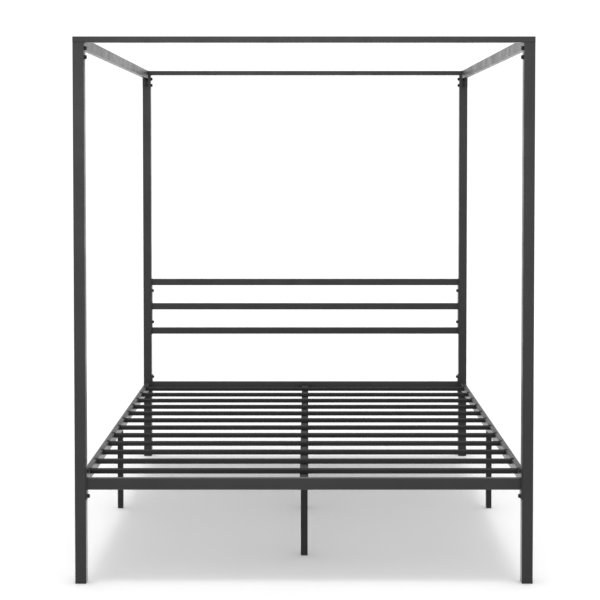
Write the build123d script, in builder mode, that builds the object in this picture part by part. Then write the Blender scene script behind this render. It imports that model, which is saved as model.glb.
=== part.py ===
from build123d import *
import os

# A steel four poster canopy bed with a slatted base and a three bar headboard.
#
# The frame bolts together from tubes: four posts carry a canopy of four beams, a
# headboard panel and four rails. Twelve slats hang on the side rails by plastic
# clips and rest on a centre rail with legs of its own. Millimetres. The origin is
# on the floor at the middle of the bed, +Z is up and the headboard is at +Y.

os.makedirs("parts", exist_ok=True)

# Overall sizes, over the outsides of the posts
bed_width = 1557.0
bed_length = 2120.0
bed_height = 1857.0

# Posts and their plastic foot caps
post_size = 38.0
post_wall = 1.2
post_corner = 2.5
post_cap_height = 10.0
post_cap_round = 3.0

# Canopy beams: one box section as wide as the posts, flat across the bed and on edge along it
beam_wide = post_size
beam_narrow = 20.0
beam_wall = 1.0
beam_corner = 2.5
end_plug_flange = 2.0
end_plug_depth = 15.0
end_plug_round = 0.8

# Stubs that are welded under the canopy beams and slide into the post tops
stub_clearance = 0.5
stub_wall = 2.0
stub_corner = 2.5
stub_depth = 85.0
stub_bolt_high_drop = 18.5
stub_bolt_low_drop = 48.5

# Headboard panel
bar_height = 30.0
bar_thickness = 20.0
bar_wall = 1.0
bar_corner = 2.2
bar_pitch = 117.5
headboard_top = 857.0
headboard_bolt_below_top_bar = 27.0

# Rails of the bed base
rail_height = 40.0
rail_thickness = 20.0
rail_wall = 1.2
rail_corner = 2.5
rail_top = 360.0

# Plates that are welded on tube ends and bolted to the posts
plate_thickness = 3.0
plate_corner = 3.0
end_plate_reach = 33.5
end_bolt_from_rail = 23.0
hung_plate_drop = 41.0
hung_bolt_near = 10.0
hung_bolt_far = 30.0

# Slats and their plastic clips
slat_count = 12
slat_pitch = 160.6
slat_width = 32.0
slat_thickness = 14.0
slat_wall = 0.8
slat_corner = 2.5
slat_below_rail_top = 4.5
clip_collar = 2.5
clip_tab_reach = 9.5
clip_tab_thickness = 2.8
clip_plug_depth = 22.0
clip_peg_diameter = 6.0
clip_peg_inset = 5.5
clip_peg_length = 6.0
clip_peg_clearance = 0.2

# Centre rail under the slats, and the plates at its ends
centre_width = 30.0
centre_height = 25.0
centre_wall = 1.2
centre_corner = 2.5
centre_plate_width = 86.0
centre_plate_height = 35.5
centre_plate_below_rail_top = 9.0
centre_bolt_below_rail_top = 26.0
centre_plate_chamfer = 6.0
centre_bolt_spread = 58.0

# Legs under the centre rail and the side rails
centre_leg_size = 25.0
side_leg_size = 22.0
leg_wall = 1.0
leg_corner = 2.2
leg_spacing = 700.0
leg_cap_height = 8.0
leg_cap_round = 3.0
leg_top_flange = 3.0

# Plastic caps and plugs that are pressed into tubes
cap_depth = 22.0
cap_wall = 2.0
cap_clearance = 0.2

# Bolts with a domed head, their washers, and the threaded inserts they screw into
thread_diameter = 8.0
bolt_length = 20.0
bolt_clearance = 0.5
head_diameter = 14.0
head_height = 4.4
head_rim = 1.2
socket_size = 5.0
socket_depth = 2.6
flat_washer_diameter = 16.0
flat_washer_thickness = 1.6
spring_washer_diameter = 13.5
spring_washer_thickness = 2.0
spring_washer_gap = 1.2
insert_diameter = 11.0
insert_length = 11.0
insert_bulge_diameter = 13.6
insert_bulge_length = 2.5
stud_rise = 12.0
stud_drop = 18.0

# Places worked out from the sizes
post_x = (bed_width - post_size) / 2
post_y = (bed_length - post_size) / 2
post_inner_x = bed_width / 2 - post_size
post_inner_y = bed_length / 2 - post_size
post_top = bed_height - beam_narrow
stub_size = post_size - 2 * post_wall - 2 * stub_clearance
rail_middle = rail_top - rail_height / 2
rail_bottom = rail_top - rail_height
rail_inner_x = post_x - rail_thickness / 2
rail_inner_y = post_y - rail_thickness / 2
slat_top = rail_top - slat_below_rail_top
slat_bottom = slat_top - slat_thickness
slat_middle = (slat_top + slat_bottom) / 2
slat_end_x = rail_inner_x - clip_collar
centre_bottom = slat_bottom - centre_height
headboard_bottom = headboard_top - 2 * bar_pitch - bar_height
washer_stack = flat_washer_thickness + spring_washer_thickness
clearance_hole = thread_diameter + 2 * bolt_clearance
least_corner = 0.2

sides = {"left": -1, "right": 1}
ends = {"foot": -1, "head": 1}
slat_places = [(i - (slat_count - 1) / 2) * slat_pitch for i in range(slat_count)]


def along_x(x, y, z):
    """A plane whose normal is +X, with Y across it and Z up it."""
    return Plane(origin=(x, y, z), x_dir=(0, 1, 0), z_dir=(1, 0, 0))


def along_y(x, y, z):
    """A plane whose normal is +Y, with X across it and Z up it."""
    return Plane(origin=(x, y, z), x_dir=(-1, 0, 0), z_dir=(0, 1, 0))


def upright(x, y, z):
    """A level plane at a height."""
    return Plane(origin=(x, y, z))


def towards_middle_x(side, y, z, x=post_inner_x):
    """A joint plane on a face that looks across the bed to its middle."""
    return Plane(origin=(side * x, y, z), x_dir=(0, 1, 0), z_dir=(-side, 0, 0))


def towards_middle_y(end, x, z, y=post_inner_y):
    """A joint plane on a face that looks along the bed to its middle."""
    return Plane(origin=(x, end * y, z), x_dir=(1, 0, 0), z_dir=(0, -end, 0))


def tube_section(width, height, wall, corner):
    """Draws a rolled box section in the sketch being made."""
    RectangleRounded(width, height, corner)
    inner_corner = max(corner - wall, least_corner)
    RectangleRounded(width - 2 * wall, height - 2 * wall, inner_corner, mode=Mode.SUBTRACT)


def plug_section(width, height, wall, corner):
    """Draws a hollow plastic plug that fits inside a box section of these sizes."""
    plug_width = width - 2 * (wall + cap_clearance)
    plug_height = height - 2 * (wall + cap_clearance)
    RectangleRounded(plug_width, plug_height, max(corner - wall, least_corner))
    Rectangle(plug_width - 2 * cap_wall, plug_height - 2 * cap_wall, mode=Mode.SUBTRACT)


def drill(planes, diameter, depth):
    """Drills the part being made inwards from each joint plane."""
    with Locations(*[plane.location for plane in planes]):
        Hole(diameter / 2, depth)


def lifted(planes, height):
    """The same joint planes, moved out along their normals."""
    return [plane.offset(height) for plane in planes]


def write(piece, node):
    """Labels a finished piece and writes it to its own STEP file."""
    piece.part.label = node
    export_step(piece.part, f"parts/{node}.step")


# Joint planes: each lies on the face of a post or rail, where its bolt goes in
stub_joints = [
    towards_middle_x(side, end * post_y, post_top - drop)
    for side in sides.values()
    for end in ends.values()
    for drop in (stub_bolt_high_drop, stub_bolt_low_drop)
]
canopy_plate_joints = [
    towards_middle_y(end, side * post_x, bed_height - beam_wide - drop)
    for side in sides.values()
    for end in ends.values()
    for drop in (hung_bolt_near, hung_bolt_far)
]
headboard_joints = [
    towards_middle_x(side, post_y, z)
    for side in sides.values()
    for z in (
        headboard_top - bar_height - headboard_bolt_below_top_bar,
        headboard_bottom + bar_height + headboard_bolt_below_top_bar,
    )
]
end_rail_joints = [
    towards_middle_x(side, end * post_y, z)
    for side in sides.values()
    for end in ends.values()
    for z in (rail_bottom - end_bolt_from_rail, rail_top + end_bolt_from_rail)
]
side_rail_joints = [
    towards_middle_y(end, side * post_x, rail_bottom - drop)
    for side in sides.values()
    for end in ends.values()
    for drop in (hung_bolt_near, hung_bolt_far)
]
centre_joints = [
    towards_middle_y(
        end, side * centre_bolt_spread / 2, rail_top - centre_bolt_below_rail_top, rail_inner_y
    )
    for side in sides.values()
    for end in ends.values()
]


def on_side(planes, side):
    """The joint planes on one side of the bed."""
    return [plane for plane in planes if plane.origin.X * side > 0]


def at_end(planes, end):
    """The joint planes at one end of the bed."""
    return [plane for plane in planes if plane.origin.Y * end > 0]


# Posts: plain tubes with clearance holes for the canopy and insert holes for the rest
for side_name, side in sides.items():
    for end_name, end in ends.items():
        canopy_holes = at_end(on_side(stub_joints + canopy_plate_joints, side), end)
        insert_joints = headboard_joints + end_rail_joints + side_rail_joints
        insert_holes = at_end(on_side(insert_joints, side), end)
        with BuildPart() as post:
            with BuildSketch(upright(side * post_x, end * post_y, post_cap_height)):
                tube_section(post_size, post_size, post_wall, post_corner)
            extrude(amount=post_top - post_cap_height)
            drill(canopy_holes, clearance_hole, post_wall)
            drill(insert_holes, insert_diameter, post_wall)
        write(post, f"post_{end_name}_{side_name}")


def tube_cap(plane, size, corner, wall, height, edge_round):
    """Builds a foot cap from a plane: a rounded foot under a tube, with a hollow plug in it."""
    with BuildPart() as cap:
        with BuildSketch(plane):
            RectangleRounded(size, size, corner)
        extrude(amount=height)
        fillet(cap.edges().group_by(Axis.Z)[0], edge_round)
        with BuildSketch(plane.offset(height)):
            plug_section(size, size, wall, corner)
        extrude(amount=cap_depth)
    return cap


for side_name, side in sides.items():
    for end_name, end in ends.items():
        floor_plane = upright(side * post_x, end * post_y, 0)
        post_cap = tube_cap(
            floor_plane, post_size, post_corner, post_wall, post_cap_height, post_cap_round
        )
        write(post_cap, f"post_cap_{end_name}_{side_name}")

# Canopy beams across the foot and the head, lying flat on the post tops
for end_name, end in ends.items():
    beam_start = along_x(end_plug_flange - bed_width / 2, end * post_y, bed_height - beam_narrow / 2)
    with BuildPart() as cross_beam:
        with BuildSketch(beam_start):
            tube_section(beam_wide, beam_narrow, beam_wall, beam_corner)
        extrude(amount=bed_width - 2 * end_plug_flange)
    write(cross_beam, f"canopy_{end_name}_beam")

with BuildPart() as canopy_end_plugs:
    for side in sides.values():
        for end in ends.values():
            plug_start = towards_middle_x(
                side, end * post_y, bed_height - beam_narrow / 2, bed_width / 2 - end_plug_flange
            )
            with BuildSketch(plug_start):
                plug_section(beam_wide, beam_narrow, beam_wall, beam_corner)
            extrude(amount=end_plug_depth)
            with BuildSketch(plug_start):
                RectangleRounded(beam_wide, beam_narrow, beam_corner)
            extrude(amount=-end_plug_flange)
    outer_faces = canopy_end_plugs.faces().filter_by(Axis.X).group_by(Axis.X)
    fillet((outer_faces[0] + outer_faces[-1]).edges(), end_plug_round)
write(canopy_end_plugs, "canopy_end_plugs")

with BuildPart() as canopy_stubs:
    for side in sides.values():
        for end in ends.values():
            with BuildSketch(upright(side * post_x, end * post_y, post_top - stub_depth)):
                tube_section(stub_size, stub_size, stub_wall, stub_corner)
            extrude(amount=stub_depth)
    stub_faces = lifted(stub_joints + canopy_plate_joints, -post_wall - stub_clearance)
    drill(stub_faces, insert_diameter, stub_wall)
write(canopy_stubs, "canopy_stubs")


def hung_plates(tube_top, tube_height, joints):
    """Builds the four plates at the ends of the side tubes, each hanging below its tube."""
    height = tube_height + hung_plate_drop
    middle = tube_top - height / 2
    with BuildPart() as plates:
        for side in sides.values():
            for end in ends.values():
                with BuildSketch(towards_middle_y(end, side * post_x, middle)):
                    RectangleRounded(post_size, height, plate_corner)
                extrude(amount=plate_thickness)
        drill(lifted(joints, plate_thickness), clearance_hole, plate_thickness)
    return plates


# Canopy beams along the sides, on edge, between their end plates
side_tube_length = 2 * (post_inner_y - plate_thickness)
for side_name, side in sides.items():
    with BuildPart() as side_beam:
        with BuildSketch(along_y(side * post_x, -side_tube_length / 2, bed_height - beam_wide / 2)):
            tube_section(beam_narrow, beam_wide, beam_wall, beam_corner)
        extrude(amount=side_tube_length)
    write(side_beam, f"canopy_{side_name}_beam")

canopy_side_plates = hung_plates(bed_height, beam_wide, canopy_plate_joints)
write(canopy_side_plates, "canopy_side_plates")

# Headboard: three bars between two end plates
cross_tube_length = 2 * (post_inner_x - plate_thickness)
for bar_number, bar_name in enumerate(("top", "middle", "bottom")):
    bar_middle = headboard_top - bar_height / 2 - bar_number * bar_pitch
    with BuildPart() as bar:
        with BuildSketch(along_x(-cross_tube_length / 2, post_y, bar_middle)):
            tube_section(bar_thickness, bar_height, bar_wall, bar_corner)
        extrude(amount=cross_tube_length)
    write(bar, f"headboard_{bar_name}_bar")

with BuildPart() as headboard_plates:
    for side in sides.values():
        plate_middle = (headboard_top + headboard_bottom) / 2
        with BuildSketch(towards_middle_x(side, post_y, plate_middle)):
            RectangleRounded(post_size, headboard_top - headboard_bottom, plate_corner)
        extrude(amount=plate_thickness)
    drill(lifted(headboard_joints, plate_thickness), clearance_hole, plate_thickness)
write(headboard_plates, "headboard_plates")

# Foot and head rails, with the tall plates that stand above and below them
for end_name, end in ends.items():
    with BuildPart() as end_rail:
        with BuildSketch(along_x(-cross_tube_length / 2, end * post_y, rail_middle)):
            tube_section(rail_thickness, rail_height, rail_wall, rail_corner)
        extrude(amount=cross_tube_length)
        drill(at_end(centre_joints, end), insert_diameter, rail_wall)
    write(end_rail, f"{end_name}_rail")

with BuildPart() as end_rail_plates:
    for side in sides.values():
        for end in ends.values():
            with BuildSketch(towards_middle_x(side, end * post_y, rail_middle)):
                RectangleRounded(post_size, rail_height + 2 * end_plate_reach, plate_corner)
            extrude(amount=plate_thickness)
    drill(lifted(end_rail_joints, plate_thickness), clearance_hole, plate_thickness)
write(end_rail_plates, "end_rail_plates")

# Side rails: peg holes along the top for the clips, one insert hole below for the leg
clip_peg_x = rail_inner_x + clip_peg_inset
for side_name, side in sides.items():
    peg_holes = [upright(side * clip_peg_x, y, rail_top) for y in slat_places]
    leg_hole = Plane(origin=(side * post_x, 0, rail_bottom), z_dir=(0, 0, -1))
    with BuildPart() as side_rail:
        with BuildSketch(along_y(side * post_x, -side_tube_length / 2, rail_middle)):
            tube_section(rail_thickness, rail_height, rail_wall, rail_corner)
        extrude(amount=side_tube_length)
        drill(peg_holes, clip_peg_diameter + 2 * clip_peg_clearance, rail_wall)
        drill([leg_hole], insert_diameter, rail_wall)
    write(side_rail, f"{side_name}_side_rail")

side_rail_plates = hung_plates(rail_top, rail_height, side_rail_joints)
write(side_rail_plates, "side_rail_plates")

# Slats, numbered from the foot
for number, slat_y in enumerate(slat_places, start=1):
    with BuildPart() as slat:
        with BuildSketch(along_x(-slat_end_x, slat_y, slat_middle)):
            tube_section(slat_width, slat_thickness, slat_wall, slat_corner)
        extrude(amount=2 * slat_end_x)
    write(slat, f"slat_{number:02d}")

# Slat clips: a plug in the slat, a collar against the rail, a tab and a peg on the rail's top
for side_name, side in sides.items():
    with BuildPart() as clips:
        for slat_y in slat_places:
            with BuildSketch(towards_middle_x(side, slat_y, slat_middle, slat_end_x)):
                plug_section(slat_width, slat_thickness, slat_wall, slat_corner)
            extrude(amount=clip_plug_depth)
            collar_height = rail_top + clip_tab_thickness - slat_bottom
            collar_middle = slat_bottom + collar_height / 2
            with BuildSketch(towards_middle_x(side, slat_y, collar_middle, rail_inner_x)):
                RectangleRounded(slat_width, collar_height, slat_corner)
            extrude(amount=clip_collar)
            tab_length = clip_tab_reach + clip_collar
            tab_middle = slat_end_x + tab_length / 2
            with BuildSketch(upright(side * tab_middle, slat_y, rail_top)):
                Rectangle(tab_length, slat_width - 2 * slat_corner)
            extrude(amount=clip_tab_thickness)
            with BuildSketch(upright(side * clip_peg_x, slat_y, rail_top - clip_peg_length)):
                Circle(clip_peg_diameter / 2)
            extrude(amount=clip_peg_length)
    write(clips, f"slat_clips_{side_name}")

# Centre rail and the plates at its ends
centre_length = 2 * (rail_inner_y - plate_thickness)
leg_places = (-leg_spacing, 0.0, leg_spacing)
centre_leg_holes = [Plane(origin=(0, y, centre_bottom), z_dir=(0, 0, -1)) for y in leg_places]
with BuildPart() as centre_rail:
    with BuildSketch(along_y(0, -centre_length / 2, centre_bottom + centre_height / 2)):
        tube_section(centre_width, centre_height, centre_wall, centre_corner)
    extrude(amount=centre_length)
    drill(centre_leg_holes, insert_diameter, centre_wall)
write(centre_rail, "centre_rail")

with BuildPart() as centre_rail_plates:
    for end in ends.values():
        plate_middle = rail_top - centre_plate_below_rail_top - centre_plate_height / 2
        with BuildSketch(towards_middle_y(end, 0, plate_middle, rail_inner_y)):
            Rectangle(centre_plate_width, centre_plate_height)
        extrude(amount=plate_thickness)
    chamfer(centre_rail_plates.edges().filter_by(Axis.Y).group_by(Axis.Z)[0], centre_plate_chamfer)
    fillet(centre_rail_plates.edges().filter_by(Axis.Y).group_by(Axis.Z)[-1], plate_corner)
    drill(lifted(centre_joints, plate_thickness), clearance_hole, plate_thickness)
write(centre_rail_plates, "centre_rail_plates")

# Legs, with a cap below, a plug with a stud on top, and the rail's underside above
legs = {
    "centre_leg_foot": (0, -leg_spacing, centre_bottom, centre_leg_size),
    "centre_leg_middle": (0, 0, centre_bottom, centre_leg_size),
    "centre_leg_head": (0, leg_spacing, centre_bottom, centre_leg_size),
    "side_leg_left": (-post_x, 0, rail_bottom, side_leg_size),
    "side_leg_right": (post_x, 0, rail_bottom, side_leg_size),
}
for leg_name, (x, y, top, leg_size) in legs.items():
    with BuildPart() as leg:
        with BuildSketch(upright(x, y, leg_cap_height)):
            tube_section(leg_size, leg_size, leg_wall, leg_corner)
        extrude(amount=top - leg_top_flange - leg_cap_height)
    write(leg, leg_name)
    floor_plane = upright(x, y, 0)
    leg_cap = tube_cap(floor_plane, leg_size, leg_corner, leg_wall, leg_cap_height, leg_cap_round)
    write(leg_cap, f"{leg_name}_cap")

with BuildPart() as leg_top_plugs:
    for x, y, top, leg_size in legs.values():
        plug_size = leg_size - 2 * (leg_wall + cap_clearance)
        with BuildSketch(upright(x, y, top)):
            RectangleRounded(leg_size, leg_size, leg_corner)
            Circle(thread_diameter / 2, mode=Mode.SUBTRACT)
        extrude(amount=-leg_top_flange)
        with BuildSketch(upright(x, y, top - leg_top_flange)):
            RectangleRounded(plug_size, plug_size, leg_corner - leg_wall)
            Circle(thread_diameter / 2, mode=Mode.SUBTRACT)
        extrude(amount=-cap_depth)
write(leg_top_plugs, "leg_top_plugs")

with BuildPart() as leg_studs:
    for x, y, top, _ in legs.values():
        with BuildSketch(upright(x, y, top - stud_drop)):
            Circle(thread_diameter / 2)
        extrude(amount=stud_drop + stud_rise)
write(leg_studs, "leg_studs")

# Patterns of one bolt, one of each washer and one insert, each standing on its seat
with BuildPart() as bolt:
    with BuildSketch(Plane.XZ):
        with BuildLine():
            Polyline(
                (0, -bolt_length),
                (thread_diameter / 2, -bolt_length),
                (thread_diameter / 2, 0),
                (head_diameter / 2, 0),
                (head_diameter / 2, head_rim),
            )
            dome_side = (head_diameter / 2 * 0.72, head_height * 0.78)
            ThreePointArc((head_diameter / 2, head_rim), dome_side, (socket_size / 2 + 1, head_height))
            Polyline((socket_size / 2 + 1, head_height), (0, head_height), (0, -bolt_length))
        make_face()
    revolve(axis=Axis.Z)
    with BuildSketch(Plane.XY.offset(head_height)):
        RegularPolygon(socket_size / 2, 6, major_radius=False)
    extrude(amount=-socket_depth, mode=Mode.SUBTRACT)

with BuildPart() as flat_washer:
    with BuildSketch():
        Circle(flat_washer_diameter / 2)
        Circle(clearance_hole / 2, mode=Mode.SUBTRACT)
    extrude(amount=flat_washer_thickness)

with BuildPart() as spring_washer:
    with BuildSketch():
        Circle(spring_washer_diameter / 2)
        Circle(clearance_hole / 2, mode=Mode.SUBTRACT)
        with Locations((0, spring_washer_diameter / 2)):
            Rectangle(spring_washer_gap, spring_washer_diameter, mode=Mode.SUBTRACT)
    extrude(amount=spring_washer_thickness)


def insert_pattern(wall):
    """Builds a threaded insert, flush with the face it is set in, that grips a wall."""
    with BuildPart() as insert:
        with BuildSketch():
            Circle(insert_diameter / 2)
        extrude(amount=-insert_length)
        with BuildSketch(Plane.XY.offset(-wall)):
            Circle(insert_bulge_diameter / 2)
        extrude(amount=-insert_bulge_length)
        with BuildSketch():
            Circle(thread_diameter / 2)
        extrude(amount=-insert_length, mode=Mode.SUBTRACT)
    return insert


def copies(pattern, planes):
    """Builds one group of separate solids, a copy of the pattern at each plane."""
    with BuildPart() as group:
        with Locations(*[plane.location for plane in planes]):
            add(pattern.part)
    return group


# The face that each flat washer lies on
plate_joints = canopy_plate_joints + headboard_joints + end_rail_joints + side_rail_joints
seats = stub_joints + lifted(plate_joints + centre_joints, plate_thickness)

write(copies(flat_washer, seats), "flat_washers")
write(copies(spring_washer, lifted(seats, flat_washer_thickness)), "spring_washers")
write(copies(bolt, lifted(seats, washer_stack)), "bolts")

# Inserts, by the wall that each one grips
leg_insert_planes = centre_leg_holes + [
    Plane(origin=(side * post_x, 0, rail_bottom), z_dir=(0, 0, -1)) for side in sides.values()
]
post_inserts = headboard_joints + end_rail_joints + side_rail_joints
stub_inserts = copies(insert_pattern(stub_wall), stub_faces)
write(stub_inserts, "stub_inserts")
write(copies(insert_pattern(post_wall), post_inserts), "post_inserts")
write(copies(insert_pattern(rail_wall), centre_joints + leg_insert_planes), "rail_inserts")
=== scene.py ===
"""A steel four poster canopy bed: tubes, plates, plastic parts and fasteners, with a studio.

Run as a script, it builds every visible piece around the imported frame. Metres, with the
origin on the floor at the middle of the bed and the headboard at +Y.
"""
from contextlib import contextmanager
from math import pi, radians

import bmesh
import bpy
from mathutils import Matrix, Vector


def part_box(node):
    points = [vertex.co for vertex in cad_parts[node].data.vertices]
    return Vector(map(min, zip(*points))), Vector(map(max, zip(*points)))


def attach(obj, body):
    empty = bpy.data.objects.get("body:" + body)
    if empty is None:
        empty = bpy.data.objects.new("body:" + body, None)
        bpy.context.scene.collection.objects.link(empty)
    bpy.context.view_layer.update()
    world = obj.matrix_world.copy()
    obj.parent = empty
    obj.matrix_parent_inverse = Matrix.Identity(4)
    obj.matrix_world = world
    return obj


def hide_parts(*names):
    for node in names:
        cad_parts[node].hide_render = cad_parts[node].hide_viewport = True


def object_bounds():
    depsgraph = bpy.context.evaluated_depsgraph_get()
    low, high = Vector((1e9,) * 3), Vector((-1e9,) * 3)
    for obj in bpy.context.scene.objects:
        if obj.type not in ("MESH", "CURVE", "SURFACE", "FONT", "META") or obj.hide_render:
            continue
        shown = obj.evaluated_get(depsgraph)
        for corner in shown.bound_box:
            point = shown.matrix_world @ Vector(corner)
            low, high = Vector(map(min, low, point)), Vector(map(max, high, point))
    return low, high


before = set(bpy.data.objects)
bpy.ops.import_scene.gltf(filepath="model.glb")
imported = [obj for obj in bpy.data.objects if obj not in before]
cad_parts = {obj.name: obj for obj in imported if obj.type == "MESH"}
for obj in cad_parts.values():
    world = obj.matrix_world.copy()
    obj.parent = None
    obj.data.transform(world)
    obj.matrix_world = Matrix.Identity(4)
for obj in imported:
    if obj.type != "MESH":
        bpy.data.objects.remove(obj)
cad_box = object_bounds()

bl_info = {
    "name": "Four Poster Canopy Bed",
    "version": (1, 0, 0),
    "blender": (4, 5, 0),
    "location": "View3D > Sidebar > Canopy Bed",
    "description": "Models the tubes, plates, caps and fasteners of a steel canopy bed",
    "category": "Add Mesh",
}

X, Y, Z = 0, 1, 2
UP = Vector((0, 0, 1))
ALIGNED = 0.99  # least cosine between two directions that count as the same
SAME_POINT = 1e-6  # points nearer than this are one point
CORNER_STEPS = 5  # faces round a tube's or moulding's corner
SPLIT_ANGLE = 12  # degrees that a spring washer's split takes
WELD_RIPPLES = 11  # cuts in each stretch of a weld bead
WELD_WAIST = 0.78  # a bead's thickness between two ripples, as a share

POSTS = ("post_foot_left", "post_foot_right", "post_head_left", "post_head_right")
POST_CAPS = tuple(name.replace("post", "post_cap") for name in POSTS)
CROSS_BEAMS = ("canopy_foot_beam", "canopy_head_beam")
SIDE_BEAMS = ("canopy_left_beam", "canopy_right_beam")
BARS = ("headboard_top_bar", "headboard_middle_bar", "headboard_bottom_bar")
END_RAILS = ("foot_rail", "head_rail")
SIDE_RAILS = ("left_side_rail", "right_side_rail")
SLATS = tuple(f"slat_{number:02d}" for number in range(1, 13))
CENTRE_LEGS = ("centre_leg_foot", "centre_leg_middle", "centre_leg_head")
SIDE_LEGS = ("side_leg_left", "side_leg_right")
PLATES = (
    "canopy_side_plates",
    "headboard_plates",
    "end_rail_plates",
    "side_rail_plates",
    "centre_rail_plates",
)
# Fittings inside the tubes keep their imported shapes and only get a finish
HIDDEN_FITTINGS = {
    "canopy_stubs": "frame_coat",
    "leg_top_plugs": "black_plastic",
    "leg_studs": "zinc_plate",
    "post_inserts": "zinc_plate",
    "rail_inserts": "zinc_plate",
    "stub_inserts": "zinc_plate",
}


# Settings


def length(name, description, millimetres):
    """A size property, given in millimetres and kept in metres."""
    return bpy.props.FloatProperty(
        name=name,
        description=description,
        default=millimetres / 1000,
        min=0.0,
        precision=5,
        subtype="DISTANCE",
        unit="LENGTH",
    )


def colour(name, description, grey):
    """A colour property with a neutral default."""
    return bpy.props.FloatVectorProperty(
        name=name,
        description=description,
        default=(grey, grey, grey),
        min=0.0,
        max=1.0,
        size=3,
        subtype="COLOR",
    )


def factor(name, description, default, highest=1.0):
    """A plain number property that is never negative."""
    return bpy.props.FloatProperty(
        name=name, description=description, default=default, min=0.0, max=highest
    )


class BedSizes(bpy.types.PropertyGroup):
    """Walls, corners and roundings of the pieces."""

    post_wall: length("Post wall", "Wall of the posts", 1.2)
    post_corner: length("Post corner", "Outer corner radius of the posts", 2.5)
    beam_wall: length("Beam wall", "Wall of the canopy beams", 1.0)
    beam_corner: length("Beam corner", "Outer corner radius of the canopy beams", 2.5)
    bar_wall: length("Bar wall", "Wall of the headboard bars", 1.0)
    bar_corner: length("Bar corner", "Outer corner radius of the headboard bars", 2.2)
    rail_wall: length("Rail wall", "Wall of the rails", 1.2)
    rail_corner: length("Rail corner", "Outer corner radius of the rails", 2.5)
    slat_wall: length("Slat wall", "Wall of the slats", 0.8)
    slat_corner: length("Slat corner", "Outer corner radius of the slats", 2.5)
    leg_wall: length("Leg wall", "Wall of the legs", 1.0)
    leg_corner: length("Leg corner", "Outer corner radius of the legs", 2.2)
    plate_corner: length("Plate corner", "Corner radius of the bolted plates", 3.0)
    plate_chamfer: length("Plate chamfer", "Cut corners under the centre rail's plates", 6.0)
    edge_round: length("Edge rounding", "Rounding of sheared and moulded edges", 0.4)
    cap_round: length("Cap rounding", "Rounding under the foot caps", 2.4)
    cap_depth: length("Cap depth", "How far a cap's plug goes into its tube", 22.0)
    plug_gap: length("Plug gap", "Room between a plug and the tube round it", 0.2)
    clip_gap: length("Clip gap", "Room between a slat clip's plug and the slat", 0.4)
    clip_round: length("Clip rounding", "Rounding of the slat clips' edges", 0.7)
    peg_diameter: length("Peg", "Diameter of the clip's peg in the rail", 6.0)
    peg_depth: length("Peg depth", "How far the peg goes into the rail", 6.0)
    peg_round: length("Peg rounding", "Rounding of the peg's ends", 0.5)
    peg_offset: length("Peg offset", "How far the peg stands inwards of the tab's middle", 0.8)
    peg_cover: length("Peg cover", "Plastic over the peg's top", 0.8)
    weld_radius: length("Weld radius", "Thickness of the weld beads", 1.5)
    head_diameter: length("Bolt head", "Diameter of the domed bolt heads", 14.0)
    head_height: length("Bolt head height", "Height of the domed bolt heads", 4.4)
    socket_size: length("Socket size", "Across the flats of the bolt's hexagon socket", 5.0)
    thread_diameter: length("Thread", "Diameter of the bolt shanks", 8.0)
    bolt_length: length("Bolt length", "Length of the bolts under the head", 20.0)
    hole_diameter: length("Washer hole", "Hole through the washers", 9.0)


class BedFinish(bpy.types.PropertyGroup):
    """Colours and surfaces."""

    coat_colour: colour("Powder coat", "Charcoal powder coat of the frame", 0.025)
    # The slats' coat gets little shine in the finishes, which keeps their tops darker than the
    # rails': painted shade
    slat_colour: colour("Slat coat", "Matte powder coat of the slats", 0.028)
    # The legs' coat is the frame's powder coat painted darker: painted shade under the bed
    leg_shade_colour: colour("Leg coat", "Powder coat of the legs", 0.020)
    plastic_colour: colour("Plastic", "Black plastic of the caps and clips", 0.018)
    bolt_colour: colour("Bolt finish", "Black oxide of the bolts and washers", 0.020)
    zinc_colour: colour("Zinc", "Zinc plate of the inserts and studs", 0.55)
    floor_colour: colour("Floor", "Pale studio floor", 0.92)
    coat_roughness: factor("Coat roughness", "Roughness of the powder coat", 0.40)
    peel: factor("Orange peel", "Height of the powder coat's fine texture", 0.04)


class StudioSettings(bpy.types.PropertyGroup):
    """Camera and lights."""

    camera_place: bpy.props.FloatVectorProperty(
        name="Camera place",
        description="Where the camera stands",
        default=(0.0126, -5.9606, 1.4681),
        size=3,
        subtype="TRANSLATION",
        unit="LENGTH",
    )
    pitch: bpy.props.FloatProperty(
        name="Pitch",
        description="How far the camera looks down",
        default=radians(1.924),
        subtype="ANGLE",
        unit="ROTATION",
    )
    lens: bpy.props.FloatProperty(
        name="Lens", description="Focal length in millimetres", default=87.25, min=1.0
    )
    shift: bpy.props.FloatVectorProperty(
        name="Shift",
        description="Sideways and upward lens shift",
        default=(-0.0128, -0.165),
        size=2,
    )
    backdrop: factor("Backdrop light", "Brightness low behind the bed", 1.65, 10.0)
    surround: factor("Front light", "Brightness low on the camera's side", 0.50, 10.0)
    ceiling: factor("Ceiling light", "Brightness of the soft ceiling", 1.5, 10.0)
    front: factor("Front panel", "Power of the soft panel in front of the bed", 85.0, 5000.0)
    net: factor("Net", "Light that passes the net under the bed", 0.68)
    net_height: length("Net height", "Height of the net under the bed", 45.0)
    net_inset: length("Net inset", "How far the net ends inside the bed's outline", 30.0)


# Modelling helpers


def pick(*pieces):
    """Selects only these pieces, and makes the first one active."""
    bpy.ops.object.select_all(action="DESELECT")
    for piece in pieces:
        piece.select_set(True)
    bpy.context.view_layer.objects.active = pieces[0]


def named(piece, name):
    """Names a piece and its mesh."""
    piece.name = piece.data.name = name
    return piece


def place_in_mesh(piece):
    """Puts a piece's place and turn into its mesh."""
    pick(piece)
    bpy.ops.object.transform_apply(location=True, rotation=True, scale=True)


def add_block(name, low, high):
    """Adds a block that fills a box."""
    bpy.ops.object.select_all(action="DESELECT")
    middle, size = (low + high) / 2, high - low
    bpy.ops.mesh.primitive_cube_add(size=1, location=middle, scale=size)
    block = named(bpy.context.object, name)
    place_in_mesh(block)
    return block


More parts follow.
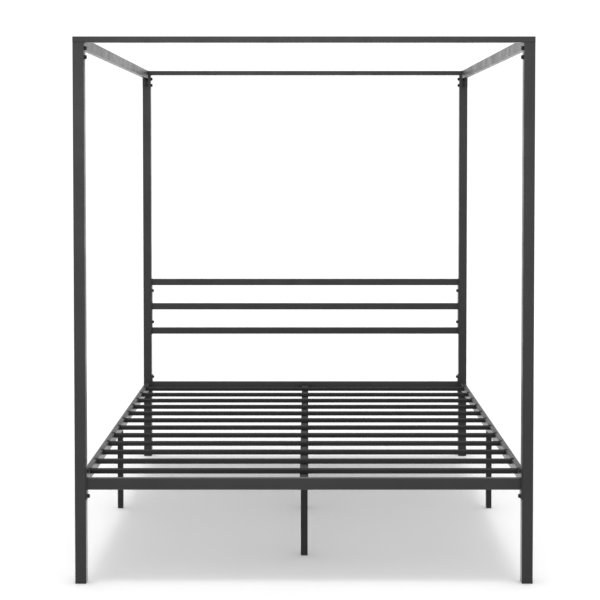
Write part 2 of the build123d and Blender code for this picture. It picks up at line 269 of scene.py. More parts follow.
@contextmanager
def editing(piece, kind):
    """Opens a piece in edit mode with nothing selected."""
    pick(piece)
    bpy.ops.object.mode_set(mode="EDIT")
    bpy.ops.mesh.select_mode(type=kind)
    bpy.ops.mesh.select_all(action="DESELECT")
    yield
    bpy.ops.object.mode_set(mode="OBJECT")


def select_faces(piece, wanted):
    """Selects the faces that pass a test."""
    mesh = bmesh.from_edit_mesh(piece.data)
    for face in mesh.faces:
        face.select_set(wanted(face))
    bmesh.update_edit_mesh(piece.data)


def select_edges(piece, wanted):
    """Selects the edges that pass a test."""
    mesh = bmesh.from_edit_mesh(piece.data)
    for edge in mesh.edges:
        edge.select_set(wanted(edge))
    bmesh.update_edit_mesh(piece.data)


def runs_along(edge, axis):
    """Tells whether an edge is parallel to an axis."""
    start, end = edge.verts
    return abs((end.co - start.co).normalized()[axis]) > ALIGNED


def faces_to(direction):
    """Makes a test for faces that look in a direction."""
    return lambda face: face.normal.dot(direction) > ALIGNED


def at_height(height, axis=Z, slack=1e-5):
    """Makes a test for faces or edges whose corners all lie at one height."""
    return lambda part: all(abs(vertex.co[axis] - height) < slack for vertex in part.verts)


def finish_with(piece, kind, **settings):
    """Adds a modifier with these settings and applies it."""
    pick(piece)
    bpy.ops.object.modifier_add(type=kind)
    modifier = piece.modifiers[-1]
    for setting, value in settings.items():
        setattr(modifier, setting, value)
    bpy.ops.object.modifier_apply(modifier=modifier.name)


def smooth(piece, angle=35):
    """Smooths corners below an angle in degrees, and keeps the flat faces flat."""
    pick(piece)
    bpy.ops.object.shade_smooth_by_angle(angle=radians(angle))
    finish_with(piece, "WEIGHTED_NORMAL", keep_sharp=True)


def round_edges(piece, width, segments=2):
    """Rounds every sharp edge of a piece."""
    finish_with(
        piece,
        "BEVEL",
        width=width,
        segments=segments,
        limit_method="ANGLE",
        angle_limit=radians(50),
    )


def add_tube(name, low, high, wall, corner):
    """Models an open box tube from a block: ends off, long corners rounded, wall inwards."""
    size = high - low
    along = max((X, Y, Z), key=lambda axis: size[axis])
    tube = add_block(name, low, high)
    with editing(tube, "FACE"):
        select_faces(tube, lambda face: abs(face.normal[along]) > ALIGNED)
        bpy.ops.mesh.delete(type="ONLY_FACE")
    with editing(tube, "EDGE"):
        select_edges(tube, lambda edge: runs_along(edge, along))
        bpy.ops.mesh.bevel(offset=corner, segments=CORNER_STEPS, affect="EDGES")
    finish_with(tube, "SOLIDIFY", thickness=wall, offset=-1.0, use_even_offset=True)
    smooth(tube)
    return tube


def copy_of(pattern, name, move=(0, 0, 0), turn=None):
    """Copies a finished piece with its own mesh, turned and then moved."""
    pick(pattern)
    bpy.ops.object.duplicate()
    copy = named(bpy.context.object, name)
    turned = turn.to_matrix().to_4x4() if turn else Matrix.Identity(4)
    copy.matrix_world = Matrix.Translation(move) @ turned
    place_in_mesh(copy)
    return copy


def loose_boxes(node):
    """Gives the boxes of a node's separate solids, sorted by place."""
    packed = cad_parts[node]
    copy = packed.copy()
    copy.data = packed.data.copy()
    bpy.context.collection.objects.link(copy)
    copy.hide_viewport = False
    copy.hide_set(False)
    with editing(copy, "VERT"):
        bpy.ops.mesh.select_all(action="SELECT")
        bpy.ops.mesh.remove_doubles(threshold=SAME_POINT)
        bpy.ops.mesh.separate(type="LOOSE")
    boxes = []
    for solid in bpy.context.selected_objects:
        places = list(zip(*[vertex.co for vertex in solid.data.vertices]))
        low, high = (Vector([end(values) for values in places]) for end in (min, max))
        boxes.append((low, high))
    bpy.ops.object.delete()
    return sorted(boxes, key=lambda box: [round(value, 4) for value in box[0]])


def node_box(node):
    """Gives a node's box as vectors."""
    low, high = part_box(node)
    return Vector(low), Vector(high)


def place_piece(piece, slot, finish, *nodes):
    """Hands a finished piece over: its body, finish and the nodes it stands for. The slot is not
    used.
    """
    piece.data.materials.clear()
    piece.data.materials.append(MATERIALS[finish])
    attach(piece, "root")
    if nodes:
        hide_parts(*nodes)


def delete_piece(piece):
    """Deletes a pattern or cutter that has done its work."""
    pick(piece)
    bpy.ops.object.delete()


def model_tubes(context, nodes, kind, slot, finish):
    """Models one tube for a row of equal nodes and copies it to the others."""
    sizes = context.scene.bed_sizes
    wall, corner = getattr(sizes, f"{kind}_wall"), getattr(sizes, f"{kind}_corner")
    first_low, first_high = node_box(nodes[0])
    pattern = add_tube(f"{nodes[0]}_tube", first_low, first_high, wall, corner)
    for node in nodes:
        low, _ = node_box(node)
        tube = pattern if node == nodes[0] else copy_of(pattern, f"{node}_tube", low - first_low)
        place_piece(tube, slot, finish, node)


# Materials

MATERIALS = {}


def new_material(name, base, roughness, metallic=0.0, specular=0.5):
    """Starts a material with one colour and shine, and lists it by its name."""
    material = bpy.data.materials.new(name)
    material.use_nodes = True
    shader = material.node_tree.nodes["Principled BSDF"]
    shader.inputs["Base Color"].default_value = (*base, 1)
    shader.inputs["Roughness"].default_value = roughness
    shader.inputs["Metallic"].default_value = metallic
    shader.inputs["Specular IOR Level"].default_value = specular
    material.diffuse_color = (*base, 1)
    MATERIALS[name] = material
    return material


def add_noise(material, scale, detail=3.0, stretch=(1, 1, 1)):
    """Adds noise on object coordinates, and gives its output."""
    nodes, links = material.node_tree.nodes, material.node_tree.links
    place = nodes.new("ShaderNodeTexCoord")
    mapping = nodes.new("ShaderNodeMapping")
    mapping.inputs["Scale"].default_value = stretch
    noise = nodes.new("ShaderNodeTexNoise")
    noise.inputs["Scale"].default_value = scale
    noise.inputs["Detail"].default_value = detail
    links.new(place.outputs["Object"], mapping.inputs["Vector"])
    links.new(mapping.outputs["Vector"], noise.inputs["Vector"])
    return noise.outputs["Fac"]


def vary(material, value, low, high):
    """Stretches the middle of a noise, where its values lie, to a range."""
    spread = material.node_tree.nodes.new("ShaderNodeMapRange")
    spread.inputs["From Min"].default_value = 0.3
    spread.inputs["From Max"].default_value = 0.7
    spread.inputs["To Min"].default_value = low
    spread.inputs["To Max"].default_value = high
    material.node_tree.links.new(value, spread.inputs["Value"])
    return spread.outputs["Result"]


def vary_roughness(material, value, low, high):
    """Lets a noise vary the roughness between two values."""
    shader = material.node_tree.nodes["Principled BSDF"]
    rough = vary(material, value, low, high)
    material.node_tree.links.new(rough, shader.inputs["Roughness"])


def mottle(material, base, value, amount):
    """Varies the base colour a little, lighter and darker."""
    tree = material.node_tree
    mix = tree.nodes.new("ShaderNodeMix")
    mix.data_type = "RGBA"
    mix.inputs["A"].default_value = (*[channel * (1 - amount) for channel in base], 1)
    mix.inputs["B"].default_value = (*[channel * (1 + amount) for channel in base], 1)
    tree.links.new(vary(material, value, 0.0, 1.0), mix.inputs["Factor"])
    tree.links.new(mix.outputs["Result"], tree.nodes["Principled BSDF"].inputs["Base Color"])


def add_bumps(material, *layers):
    """Adds bump layers, each a noise with a strength and a depth in metres."""
    tree = material.node_tree
    normal = None
    for value, strength, depth in layers:
        bump = tree.nodes.new("ShaderNodeBump")
        bump.inputs["Strength"].default_value = strength
        bump.inputs["Distance"].default_value = depth
        tree.links.new(value, bump.inputs["Height"])
        if normal:
            tree.links.new(normal, bump.inputs["Normal"])
        normal = bump.outputs["Normal"]
    tree.links.new(normal, tree.nodes["Principled BSDF"].inputs["Normal"])


def powder_coat(name, base, roughness, peel, specular=0.5):
    """A sprayed and baked coat: fine orange peel, finer grain and a faint mottle."""
    coat = new_material(name, base, roughness, specular=specular)
    clouds = add_noise(coat, 6.0, detail=4.0)
    patches = add_noise(coat, 14.0, detail=5.0)
    grain = add_noise(coat, 1800.0, detail=2.0)
    skin = add_noise(coat, 420.0, detail=2.0)
    skin_depth, grain_depth = 0.0004, 0.00012
    mottle(coat, base, clouds, 0.10)
    vary_roughness(coat, patches, roughness - 0.05, roughness + 0.05)
    add_bumps(coat, (skin, peel, skin_depth), (grain, 4 * peel, grain_depth))


def moulded_plastic(name, base, roughness):
    """Moulded plastic with a fine spark-eroded grain."""
    plastic = new_material(name, base, roughness, specular=0.4)
    clouds = add_noise(plastic, 30.0)
    patches = add_noise(plastic, 60.0)
    grain = add_noise(plastic, 2600.0, detail=1.0)
    grain_strength, grain_depth = 0.25, 0.0001
    mottle(plastic, base, clouds, 0.12)
    vary_roughness(plastic, patches, roughness - 0.06, roughness + 0.06)
    add_bumps(plastic, (grain, grain_strength, grain_depth))


def plated_metal(name, base, roughness, metallic, stretch):
    """Plated or blackened steel with faint turning marks."""
    metal = new_material(name, base, roughness, metallic=metallic)
    clouds = add_noise(metal, 90.0, detail=5.0)
    marks = add_noise(metal, 700.0, detail=2.0, stretch=stretch)
    marks_strength, marks_depth = 0.15, 0.0001
    mottle(metal, base, clouds, 0.18)
    vary_roughness(metal, marks, roughness - 0.08, roughness + 0.10)
    add_bumps(metal, (marks, marks_strength, marks_depth))


# Operators


class BedStep:
    """What every step of the bed shares."""

    bl_options = {"REGISTER", "UNDO"}


class CANOPYBED_OT_materials(BedStep, bpy.types.Operator):
    """Makes the powder coats, plastic and metal finishes"""

    bl_idname = "canopybed.materials"
    bl_label = "Finishes"

    def execute(self, context):
        finish = context.scene.bed_finish
        roughness, peel = finish.coat_roughness, finish.peel
        powder_coat("frame_coat", finish.coat_colour, roughness, peel, specular=0.4)
        # The slats get a duller copy of the frame's coat, so their tops stay darker than the
        # rails': painted shade on the slats
        powder_coat("slat_coat", finish.slat_colour, 0.75, peel, specular=0.05)
        # The legs and the centre rail get a darker, duller copy of the frame's coat: painted shade
        # under the bed
        powder_coat("leg_coat", finish.leg_shade_colour, 0.55, peel, specular=0.25)
        moulded_plastic("black_plastic", finish.plastic_colour, 0.45)
        plated_metal("black_oxide", finish.bolt_colour, 0.38, 0.6, (1, 1, 4))
        plated_metal("zinc_plate", finish.zinc_colour, 0.30, 1.0, (4, 1, 1))
        return {"FINISHED"}


class CANOPYBED_OT_posts(BedStep, bpy.types.Operator):
    """Models the four posts"""

    bl_idname = "canopybed.posts"
    bl_label = "Posts"

    def execute(self, context):
        model_tubes(context, POSTS, "post", "posts", "frame_coat")
        return {"FINISHED"}


class CANOPYBED_OT_canopy(BedStep, bpy.types.Operator):
    """Models the canopy's beams across and along the bed"""

    bl_idname = "canopybed.canopy"
    bl_label = "Canopy Beams"

    def execute(self, context):
        model_tubes(context, CROSS_BEAMS, "beam", "canopy", "frame_coat")
        model_tubes(context, SIDE_BEAMS, "beam", "canopy", "frame_coat")
        return {"FINISHED"}


class CANOPYBED_OT_headboard(BedStep, bpy.types.Operator):
    """Models the three headboard bars"""

    bl_idname = "canopybed.headboard"
    bl_label = "Headboard Bars"

    def execute(self, context):
        model_tubes(context, BARS, "bar", "headboard", "frame_coat")
        return {"FINISHED"}


class CANOPYBED_OT_rails(BedStep, bpy.types.Operator):
    """Models the rails of the bed base"""

    bl_idname = "canopybed.rails"
    bl_label = "Rails"

    def execute(self, context):
        model_tubes(context, END_RAILS, "rail", "rails", "frame_coat")
        model_tubes(context, SIDE_RAILS, "rail", "rails", "frame_coat")
        model_tubes(context, ("centre_rail",), "rail", "centre_rail", "leg_coat")
        return {"FINISHED"}


class CANOPYBED_OT_slats(BedStep, bpy.types.Operator):
    """Models the twelve slats"""

    bl_idname = "canopybed.slats"
    bl_label = "Slats"

    def execute(self, context):
        model_tubes(context, SLATS, "slat", "slats", "slat_coat")
        return {"FINISHED"}


class CANOPYBED_OT_legs(BedStep, bpy.types.Operator):
    """Models the legs under the centre rail and the side rails"""

    bl_idname = "canopybed.legs"
    bl_label = "Legs"

    def execute(self, context):
        model_tubes(context, CENTRE_LEGS, "leg", "legs", "leg_coat")
        model_tubes(context, SIDE_LEGS, "leg", "legs", "leg_coat")
        return {"FINISHED"}


def add_plate(name, low, high, corner, chamfer=None):
    """Models a sheared plate: corners rounded, or cut off below, and its rim eased."""
    size = high - low
    through = min((X, Y, Z), key=lambda axis: size[axis])
    plate = add_block(name, low, high)
    if chamfer:
        with editing(plate, "EDGE"):
            select_edges(plate, lambda e: runs_along(e, through) and at_height(low.z)(e))
            bpy.ops.mesh.bevel(offset=chamfer, segments=1, affect="EDGES")
    with editing(plate, "EDGE"):
        select_edges(
            plate,
            lambda e: runs_along(e, through) and (not chamfer or at_height(high.z)(e)),
        )
        bpy.ops.mesh.bevel(offset=corner, segments=4, affect="EDGES")
    return plate


class CANOPYBED_OT_plates(BedStep, bpy.types.Operator):
    """Models the plates that are welded on tube ends and bolted on"""

    bl_idname = "canopybed.plates"
    bl_label = "Bolted Plates"

    def execute(self, context):
        sizes = context.scene.bed_sizes
        for node in PLATES:
            chamfer = sizes.plate_chamfer if node == "centre_rail_plates" else None
            for number, (low, high) in enumerate(loose_boxes(node), start=1):
                plate = add_plate(f"{node[:-1]}_{number}", low, high, sizes.plate_corner, chamfer)
                round_edges(plate, sizes.edge_round)
                smooth(plate)
                place_piece(plate, "plates", "frame_coat", node)
        return {"FINISHED"}


def add_foot_cap(name, low, high, height, corner, inset, depth):
    """Models a plastic cap: a rounded foot, and a plug that goes up into the tube."""
    cap = add_block(name, low, Vector((high.x, high.y, low.z + height)))
    with editing(cap, "EDGE"):
        select_edges(cap, lambda e: runs_along(e, Z) or at_height(low.z)(e))
        bpy.ops.mesh.bevel(offset=corner, segments=CORNER_STEPS, affect="EDGES")
    with editing(cap, "FACE"):
        select_faces(cap, lambda f: faces_to(UP)(f) and at_height(low.z + height)(f))
        bpy.ops.mesh.inset(thickness=inset)
        bpy.ops.mesh.extrude_region_move(TRANSFORM_OT_translate={"value": (0, 0, depth)})
    smooth(cap)
    return cap


class CANOPYBED_OT_foot_caps(BedStep, bpy.types.Operator):
    """Models the plastic caps under the posts and legs"""

    bl_idname = "canopybed.foot_caps"
    bl_label = "Foot Caps"

    def execute(self, context):
        sizes = context.scene.bed_sizes
        rows = (
            (POST_CAPS, "post_foot_left", sizes.post_wall),
            (tuple(f"{leg}_cap" for leg in CENTRE_LEGS), "centre_leg_foot", sizes.leg_wall),
            (tuple(f"{leg}_cap" for leg in SIDE_LEGS), "side_leg_left", sizes.leg_wall),
        )
        for nodes, tube, wall in rows:
            first_low, first_high = node_box(nodes[0])
            height = node_box(tube)[0].z - first_low.z
            pattern = add_foot_cap(
                f"{nodes[0]}_moulding",
                first_low,
                first_high,
                height,
                sizes.cap_round,
                wall + sizes.plug_gap,
                sizes.cap_depth,
            )
            for node in nodes:
                move = node_box(node)[0] - first_low
                cap = pattern if node == nodes[0] else copy_of(pattern, f"{node}_moulding", move)
                place_piece(cap, "caps", "black_plastic", node)
        return {"FINISHED"}


class CANOPYBED_OT_end_plugs(BedStep, bpy.types.Operator):
    """Models the plastic plugs in the ends of the canopy's cross beams"""

    bl_idname = "canopybed.end_plugs"
    bl_label = "Canopy End Plugs"

    def execute(self, context):
        sizes = context.scene.bed_sizes
        beam_end = node_box("canopy_foot_beam")[1].x
        for number, (low, high) in enumerate(loose_boxes("canopy_end_plugs"), start=1):
            outward = 1 if low.x > 0 else -1
            flange_low, flange_high = low.copy(), high.copy()
            if outward > 0:
                flange_low.x = beam_end
            else:
                flange_high.x = -beam_end
            plug = add_block(f"canopy_end_plug_{number}", flange_low, flange_high)
            outer_x = high.x if outward > 0 else low.x
            with editing(plug, "EDGE"):
                select_edges(plug, lambda e: runs_along(e, X))
                bpy.ops.mesh.bevel(
                    offset=sizes.beam_corner, segments=CORNER_STEPS, affect="EDGES"
                )
            with editing(plug, "EDGE"):
                select_edges(plug, at_height(outer_x, X))
                bpy.ops.mesh.bevel(offset=2 * sizes.edge_round, segments=3, affect="EDGES")
            with editing(plug, "FACE"):
                select_faces(plug, at_height(outward * beam_end, X))
                bpy.ops.mesh.inset(thickness=sizes.beam_wall + sizes.plug_gap)
                depth = (high.x - low.x) - (flange_high.x - flange_low.x)
                move = {"value": (-outward * depth, 0, 0)}
                bpy.ops.mesh.extrude_region_move(TRANSFORM_OT_translate=move)
            smooth(plug)
            place_piece(plug, "caps", "black_plastic", "canopy_end_plugs")
        return {"FINISHED"}


class CANOPYBED_OT_slat_clips(BedStep, bpy.types.Operator):
    """Models the plastic clips that hang the slats on the side rails"""

    bl_idname = "canopybed.slat_clips"
    bl_label = "Slat Clips"

    def execute(self, context):
        sizes = context.scene.bed_sizes
        inwards = Vector((1, 0, 0))
        rail_high = node_box("left_side_rail")[1]
        slat_low, slat_high = node_box("slat_01")
        low, high = loose_boxes("slat_clips_left")[0]
        # The collar between the rail and the slat's end, as wide as the slat
        collar_low = Vector((rail_high.x, slat_low.y, slat_low.z))
        collar_high = Vector((slat_low.x, slat_high.y, high.z))
        clip = add_block("slat_clip_pattern", collar_low, collar_high)
        with editing(clip, "FACE"):
            for height in (rail_high.z, slat_high.z):
                bpy.ops.mesh.select_all(action="SELECT")
                bpy.ops.mesh.bisect(plane_co=(0, 0, height), plane_no=UP)
        # The tab is pulled out of the collar's top over the rail
        middle_y = (slat_low.y + slat_high.y) / 2
        tab_narrowing = 1 - 2 * sizes.slat_corner / (slat_high.y - slat_low.y)
        with editing(clip, "FACE"):
            select_faces(
                clip,
                lambda f: faces_to(-inwards)(f) and f.calc_center_median().z > rail_high.z,
            )
            move = {"value": (low.x - rail_high.x, 0, 0)}
            bpy.ops.mesh.extrude_region_move(TRANSFORM_OT_translate=move)
            tab_end = (low.x, middle_y, high.z)
            bpy.ops.transform.resize(value=(1, tab_narrowing, 1), center_override=tab_end)
        # The plug goes into the slat, and the peg into the rail's top
        with editing(clip, "FACE"):
            select_faces(
                clip,
                lambda f: faces_to(inwards)(f) and f.calc_center_median().z < slat_high.z,
            )
            bpy.ops.mesh.inset(thickness=sizes.slat_wall + sizes.clip_gap)
            move = {"value": (high.x - slat_low.x, 0, 0)}
            bpy.ops.mesh.extrude_region_move(TRANSFORM_OT_translate=move)
        round_edges(clip, sizes.clip_round, 3)
        peg_x = (low.x + rail_high.x) / 2 + sizes.peg_offset
        peg_top = high.z - sizes.peg_cover
        peg_low = rail_high.z - sizes.peg_depth
        bpy.ops.object.select_all(action="DESELECT")
        bpy.ops.mesh.primitive_cylinder_add(
            vertices=20,
            radius=sizes.peg_diameter / 2,
            depth=peg_top - peg_low,
            location=(peg_x, middle_y, (peg_top + peg_low) / 2),
        )
        peg = named(bpy.context.object, "slat_clip_peg")
        place_in_mesh(peg)
        round_edges(peg, sizes.peg_round)
        pick(clip, peg)
        bpy.ops.object.join()
        smooth(clip)
        half_turn = Matrix.Rotation(pi, 3, "Z").to_quaternion()
        for number, node in enumerate(SLATS, start=1):
            move = node_box(node)[0] - slat_low
            left = copy_of(clip, f"slat_clip_left_{number:02d}", move)
            place_piece(left, "clips", "black_plastic", "slat_clips_left")
            # The half turn puts the clip at the other side, and its middle at -middle_y
            right_move = Vector((0, middle_y + move.y + middle_y, 0))
            right = copy_of(clip, f"slat_clip_right_{number:02d}", right_move, half_turn)
            place_piece(right, "clips", "black_plastic", "slat_clips_right")
        delete_piece(clip)
        return {"FINISHED"}


def fastener_seats():
    """Gives each fastener's seat and the turn that stands it up there, towards the middle."""
    seats = []
    for low, high in loose_boxes("flat_washers"):
        size, middle = high - low, (low + high) / 2
        through = min((X, Y, Z), key=lambda axis: size[axis])
        inward = -1 if middle[through] > 0 else 1
        direction = Vector((0, 0, 0))
        direction[through] = inward
        seat = middle.copy()
        seat[through] = high[through] if inward < 0 else low[through]
        seats.append((seat, direction, UP.rotation_difference(direction)))
    return seats


def washer_thickness(node):
    """Gives the thickness of a node's washers."""
    low, high = loose_boxes(node)[0]
    return min(high - low)


def spread_copies(pattern, kind, slot, finish, node, lift):
    """Copies a fastener from its pattern to every seat, and removes the pattern."""
    for number, (seat, direction, turn) in enumerate(fastener_seats(), start=1):
        piece = copy_of(pattern, f"{kind}_{number:02d}", seat + lift * direction, turn)
        place_piece(piece, slot, finish, node)
    delete_piece(pattern)


class CANOPYBED_OT_bolts(BedStep, bpy.types.Operator):
    """Models the domed socket bolts"""

    bl_idname = "canopybed.bolts"
    bl_label = "Bolts"

    def execute(self, context):
        sizes = context.scene.bed_sizes
        radius, height = sizes.head_diameter / 2, sizes.head_height
        bpy.ops.object.select_all(action="DESELECT")
        bpy.ops.mesh.primitive_cylinder_add(
            vertices=36, radius=radius, depth=height, location=(0, 0, height / 2)
        )
        bolt = named(bpy.context.object, "bolt_pattern")
        place_in_mesh(bolt)
        with editing(bolt, "EDGE"):
            select_edges(bolt, at_height(height))
            bpy.ops.mesh.bevel(offset=0.7 * height, segments=6, affect="EDGES")
        with editing(bolt, "FACE"):
            select_faces(bolt, at_height(0.0))
            bpy.ops.mesh.inset(thickness=radius - sizes.thread_diameter / 2)
            down = {"value": (0, 0, -sizes.bolt_length)}
            bpy.ops.mesh.extrude_region_move(TRANSFORM_OT_translate=down)
        with editing(bolt, "EDGE"):
            select_edges(bolt, at_height(-sizes.bolt_length))
            bpy.ops.mesh.bevel(offset=sizes.thread_diameter / 10, segments=1, affect="EDGES")
        # The hexagon socket is cut out of the head
        socket_depth = 0.6 * height
        corner_radius = sizes.socket_size / 3**0.5
        bpy.ops.object.select_all(action="DESELECT")
        bpy.ops.mesh.primitive_cylinder_add(
            vertices=6, radius=corner_radius, depth=2 * socket_depth, location=(0, 0, height)
        )
        socket = named(bpy.context.object, "socket_cutter")
        place_in_mesh(socket)
        finish_with(bolt, "BOOLEAN", object=socket, operation="DIFFERENCE", solver="EXACT")
        delete_piece(socket)
        smooth(bolt, 30)
        lift = washer_thickness("flat_washers") + washer_thickness("spring_washers")
        spread_copies(bolt, "bolt", "bolts", "black_oxide", "bolts", lift)
        return {"FINISHED"}


class CANOPYBED_OT_flat_washers(BedStep, bpy.types.Operator):
    """Models the flat washers"""

    bl_idname = "canopybed.flat_washers"
    bl_label = "Flat Washers"

    def execute(self, context):
        sizes = context.scene.bed_sizes
        low, high = loose_boxes("flat_washers")[0]
        radius, thickness = max(high - low) / 2, min(high - low)
        bpy.ops.object.select_all(action="DESELECT")
        bpy.ops.mesh.primitive_cylinder_add(
            vertices=40,
            radius=radius,
            depth=thickness,
            location=(0, 0, thickness / 2),
            end_fill_type="NOTHING",
        )
        washer = named(bpy.context.object, "flat_washer_pattern")
        place_in_mesh(washer)
        width = radius - sizes.hole_diameter / 2
        finish_with(washer, "SOLIDIFY", thickness=width, offset=-1.0, use_even_offset=True)
        round_edges(washer, 0.25 * thickness)
        smooth(washer)
        spread_copies(washer, "flat_washer", "washers", "black_oxide", "flat_washers", 0.0)
        return {"FINISHED"}


class CANOPYBED_OT_spring_washers(BedStep, bpy.types.Operator):
    """Models the split spring washers"""

    bl_idname = "canopybed.spring_washers"
    bl_label = "Spring Washers"

    def execute(self, context):
        sizes = context.scene.bed_sizes
        low, high = loose_boxes("spring_washers")[0]
        radius, thickness = max(high - low) / 2, min(high - low)
        width = radius - sizes.hole_diameter / 2
        bpy.ops.object.select_all(action="DESELECT")
        bpy.ops.mesh.primitive_plane_add(
            size=1, location=(radius - width / 2, 0, thickness / 2), rotation=(pi / 2, 0, 0)
        )
        washer = named(bpy.context.object, "spring_washer_pattern")
        washer.scale = (width, thickness, 1)
        place_in_mesh(washer)
        with editing(washer, "FACE"):
            bpy.ops.mesh.select_all(action="SELECT")
            bpy.ops.mesh.spin(
                steps=36,
                angle=radians(360 - SPLIT_ANGLE),
                center=(0, 0, 0),
                axis=UP,
                use_normal_flip=False,
            )
            bpy.ops.mesh.select_all(action="SELECT")
            bpy.ops.mesh.remove_doubles(threshold=SAME_POINT)
            bpy.ops.mesh.normals_make_consistent(inside=False)
        round_edges(washer, 0.12 * thickness)
        smooth(washer)
        lift = washer_thickness("flat_washers")
        spread_copies(washer, "spring_washer", "washers", "black_oxide", "spring_washers", lift)
        return {"FINISHED"}


def add_weld(name, low, high, axis, place, radius):
    """Models a rippled bead round a tube's section, where the tube meets a plate."""
    size, middle = high - low, (low + high) / 2
    middle[axis] = place
    turn, section = {
        X: ((0, pi / 2, 0), (size.z, size.y, 1)),
        Y: ((pi / 2, 0, 0), (size.x, size.z, 1)),
    }[axis]
    bpy.ops.object.select_all(action="DESELECT")
    bpy.ops.mesh.primitive_plane_add(size=1, location=middle, rotation=turn)
    bead = named(bpy.context.object, name)
    bead.scale = section
    place_in_mesh(bead)
    with editing(bead, "FACE"):
        bpy.ops.mesh.select_all(action="SELECT")
        bpy.ops.mesh.delete(type="ONLY_FACE")
        bpy.ops.mesh.select_all(action="SELECT")
        bpy.ops.mesh.bevel(offset=1.5 * radius, segments=3, affect="VERTICES")
        bpy.ops.mesh.select_all(action="SELECT")
        bpy.ops.mesh.subdivide(number_cuts=WELD_RIPPLES)
    pick(bead)
    bpy.ops.object.convert(target="CURVE")
    for number, point in enumerate(bead.data.splines[0].points):
        point.radius = 1.0 if number % 2 else WELD_WAIST
    bead.data.bevel_depth = radius
    bead.data.bevel_resolution = 2
    bpy.ops.object.convert(target="MESH")
    bead = named(bpy.context.object, name)
    pick(bead)
    bpy.ops.object.shade_smooth()
    return bead


class CANOPYBED_OT_welds(BedStep, bpy.types.Operator):
    """Models the weld beads between the tubes and their end plates"""

    bl_idname = "canopybed.welds"
    bl_label = "Weld Beads"

    def execute(self, context):
        radius = context.scene.bed_sizes.weld_radius
        rows = (
            (SIDE_BEAMS, Y, "canopy", "canopy_weld"),
            (BARS, X, "headboard", "headboard_weld"),
            (END_RAILS, X, "rails", "end_rail_weld"),
            (SIDE_RAILS, Y, "rails", "side_rail_weld"),
            (("centre_rail",), Y, "centre_rail", "centre_rail_weld"),
        )
        for nodes, axis, slot, kind in rows:
            for node in nodes:
                low, high = node_box(node)
                for end, place in (("near", low[axis]), ("far", high[axis])):
                    bead = add_weld(f"{kind}_{node}_{end}", low, high, axis, place, radius)
                    place_piece(bead, slot, "frame_coat")
        return {"FINISHED"}


class CANOPYBED_OT_hidden_fittings(BedStep, bpy.types.Operator):
    """Finishes the stubs, inserts, studs and plugs inside the tubes"""

    bl_idname = "canopybed.hidden_fittings"
    bl_label = "Fittings inside the Tubes"

    def execute(self, context):
        for node, finish in HIDDEN_FITTINGS.items():
            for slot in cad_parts[node].material_slots:
                slot.material = MATERIALS[finish]
        return {"FINISHED"}


def add_panel_light(name, place, target, size, power):
    """Adds a soft panel light that faces a point."""
    bpy.ops.object.select_all(action="DESELECT")
    bpy.ops.object.light_add(type="AREA", location=place)
    light = bpy.context.object
    light.name = light.data.name = name
    light.data.shape = "RECTANGLE"
    light.data.size, light.data.size_y = size
    light.data.energy = power
    direction = Vector(target) - Vector(place)
    light.rotation_euler = direction.to_track_quat("-Z", "Y").to_euler()


def light_room(scene, front, back, ceiling):
    """Lights the room softly: a bright ceiling, a brighter far side and a dim near side."""
    world = scene.world or bpy.data.worlds.new("studio_room")
    scene.world = world
    world.use_nodes = True
    nodes, links = world.node_tree.nodes, world.node_tree.links

    def fade(value, start, end, low, high):
        """Fades from one brightness to another as a value goes from start to end."""
        node = nodes.new("ShaderNodeMapRange")
        node.interpolation_type = "SMOOTHSTEP"
        node.inputs["From Min"].default_value = start
        node.inputs["From Max"].default_value = end
        for limit, level in (("To Min", low), ("To Max", high)):
            if isinstance(level, float):
                node.inputs[limit].default_value = level
            else:
                links.new(level, node.inputs[limit])
        links.new(value, node.inputs["Value"])
        return node.outputs["Result"]

    direction = nodes.new("ShaderNodeTexCoord")
    split = nodes.new("ShaderNodeSeparateXYZ")
    links.new(direction.outputs["Generated"], split.inputs["Vector"])
    depth, height = split.outputs["Y"], split.outputs["Z"]
    upper_share, paper_white = 0.4, 1.1
    walls = fade(depth, -0.6, 0.6, front, back)
    upper_walls = fade(depth, -0.6, 0.6, front, upper_share * back)
    room = fade(height, 0.05, 0.2, walls, upper_walls)
    room = fade(height, 0.35, 0.75, room, ceiling)
    seen = nodes.new("ShaderNodeLightPath")
    white = fade(seen.outputs["Is Camera Ray"], 0.0, 1.0, room, paper_white)
    background = nodes["Background"]
    background.inputs["Color"].default_value = (1, 1, 1, 1)
    links.new(white, background.inputs["Strength"])


def hang_net(height, inset, passed):
    """Hangs a light-holding net low under the bed, seen only by the light that it dims."""
    (left, front, _), (right, back, _) = cad_box
    middle = ((left + right) / 2, (front + back) / 2, height)
    bpy.ops.object.select_all(action="DESELECT")
    bpy.ops.mesh.primitive_plane_add(size=1, location=middle)
    net = named(bpy.context.object, "studio_net")
    net.scale = (right - left - 2 * inset, back - front - 2 * inset, 1)
    place_in_mesh(net)
    cloth = new_material("studio_net_cloth", (passed, passed, passed), 1.0)
    veil = cloth.node_tree.nodes.new("ShaderNodeBsdfTransparent")
    veil.inputs["Color"].default_value = (passed, passed, passed, 1)
    output = cloth.node_tree.nodes["Material Output"]
    cloth.node_tree.links.new(veil.outputs["BSDF"], output.inputs["Surface"])
    net.data.materials.append(cloth)
    net.visible_camera = net.visible_glossy = False


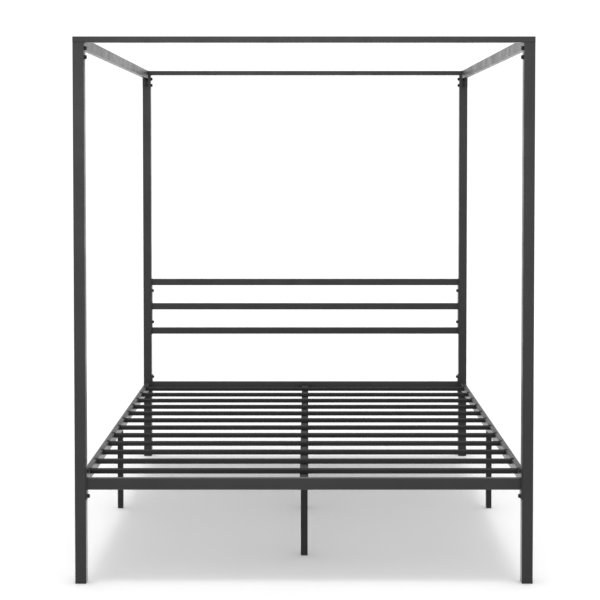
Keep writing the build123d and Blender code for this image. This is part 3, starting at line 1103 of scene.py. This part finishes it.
class CANOPYBED_OT_stage(BedStep, bpy.types.Operator):
    """Sets up the pale floor, the soft lights and the camera"""

    bl_idname = "canopybed.stage"
    bl_label = "Studio"

    def execute(self, context):
        scene = context.scene
        studio = scene.bed_studio
        bpy.ops.object.select_all(action="DESELECT")
        bpy.ops.mesh.primitive_plane_add(size=60)
        floor = named(bpy.context.object, "studio_floor")
        pale = scene.bed_finish.floor_colour
        paint = new_material("studio_floor_paint", pale, 0.8, specular=0.2)
        mottle(paint, pale, add_noise(paint, 0.8), 0.01)
        floor.data.materials.append(paint)
        floor.visible_glossy = False
        light_room(scene, studio.surround, studio.backdrop, studio.ceiling)
        hang_net(studio.net_height, studio.net_inset, studio.net)
        add_panel_light(
            "front_panel",
            place=(-0.35, -7.4, 1.9),
            target=(0, 0, 1.5),
            size=(3.0, 2.8),
            power=studio.front,
        )
        tilt = (pi / 2 - studio.pitch, 0, 0)
        bpy.ops.object.camera_add(location=studio.camera_place, rotation=tilt)
        camera = bpy.context.object
        camera.name = camera.data.name = "studio_camera"
        camera.data.lens = studio.lens
        camera.data.shift_x, camera.data.shift_y = studio.shift
        camera.data.dof.use_dof = False
        scene.camera = camera
        scene.view_settings.view_transform = "Standard"
        return {"FINISHED"}


class CANOPYBED_PT_sidebar(bpy.types.Panel):
    """The bed's steps and settings in the 3D view's sidebar"""

    bl_idname = "CANOPYBED_PT_sidebar"
    bl_label = "Canopy Bed"
    bl_space_type = "VIEW_3D"
    bl_region_type = "UI"
    bl_category = "Canopy Bed"

    def draw(self, context):
        layout = self.layout
        for step in STEPS:
            layout.operator(step.bl_idname)
        for group in (context.scene.bed_sizes, context.scene.bed_finish, context.scene.bed_studio):
            box = layout.box()
            for prop in group.__annotations__:
                box.prop(group, prop)


STEPS = (
    CANOPYBED_OT_materials,
    CANOPYBED_OT_stage,
    CANOPYBED_OT_posts,
    CANOPYBED_OT_canopy,
    CANOPYBED_OT_headboard,
    CANOPYBED_OT_rails,
    CANOPYBED_OT_slats,
    CANOPYBED_OT_legs,
    CANOPYBED_OT_plates,
    CANOPYBED_OT_foot_caps,
    CANOPYBED_OT_end_plugs,
    CANOPYBED_OT_slat_clips,
    CANOPYBED_OT_bolts,
    CANOPYBED_OT_flat_washers,
    CANOPYBED_OT_spring_washers,
    CANOPYBED_OT_welds,
    CANOPYBED_OT_hidden_fittings,
)
GROUPS = {"bed_sizes": BedSizes, "bed_finish": BedFinish, "bed_studio": StudioSettings}
CLASSES = (*GROUPS.values(), *STEPS, CANOPYBED_PT_sidebar)


def register():
    """Registers the settings, steps and panel."""
    for cls in CLASSES:
        bpy.utils.register_class(cls)
    for name, group in GROUPS.items():
        setattr(bpy.types.Scene, name, bpy.props.PointerProperty(type=group))


def unregister():
    """Removes the settings, steps and panel."""
    for name in GROUPS:
        delattr(bpy.types.Scene, name)
    for cls in reversed(CLASSES):
        bpy.utils.unregister_class(cls)


def main():
    """Runs every step in order."""
    register()
    for step in STEPS:
        group, name = step.bl_idname.split(".")
        getattr(getattr(bpy.ops, group), name)()
    bpy.ops.object.select_all(action="DESELECT")


if __name__ == "__main__":
    main()
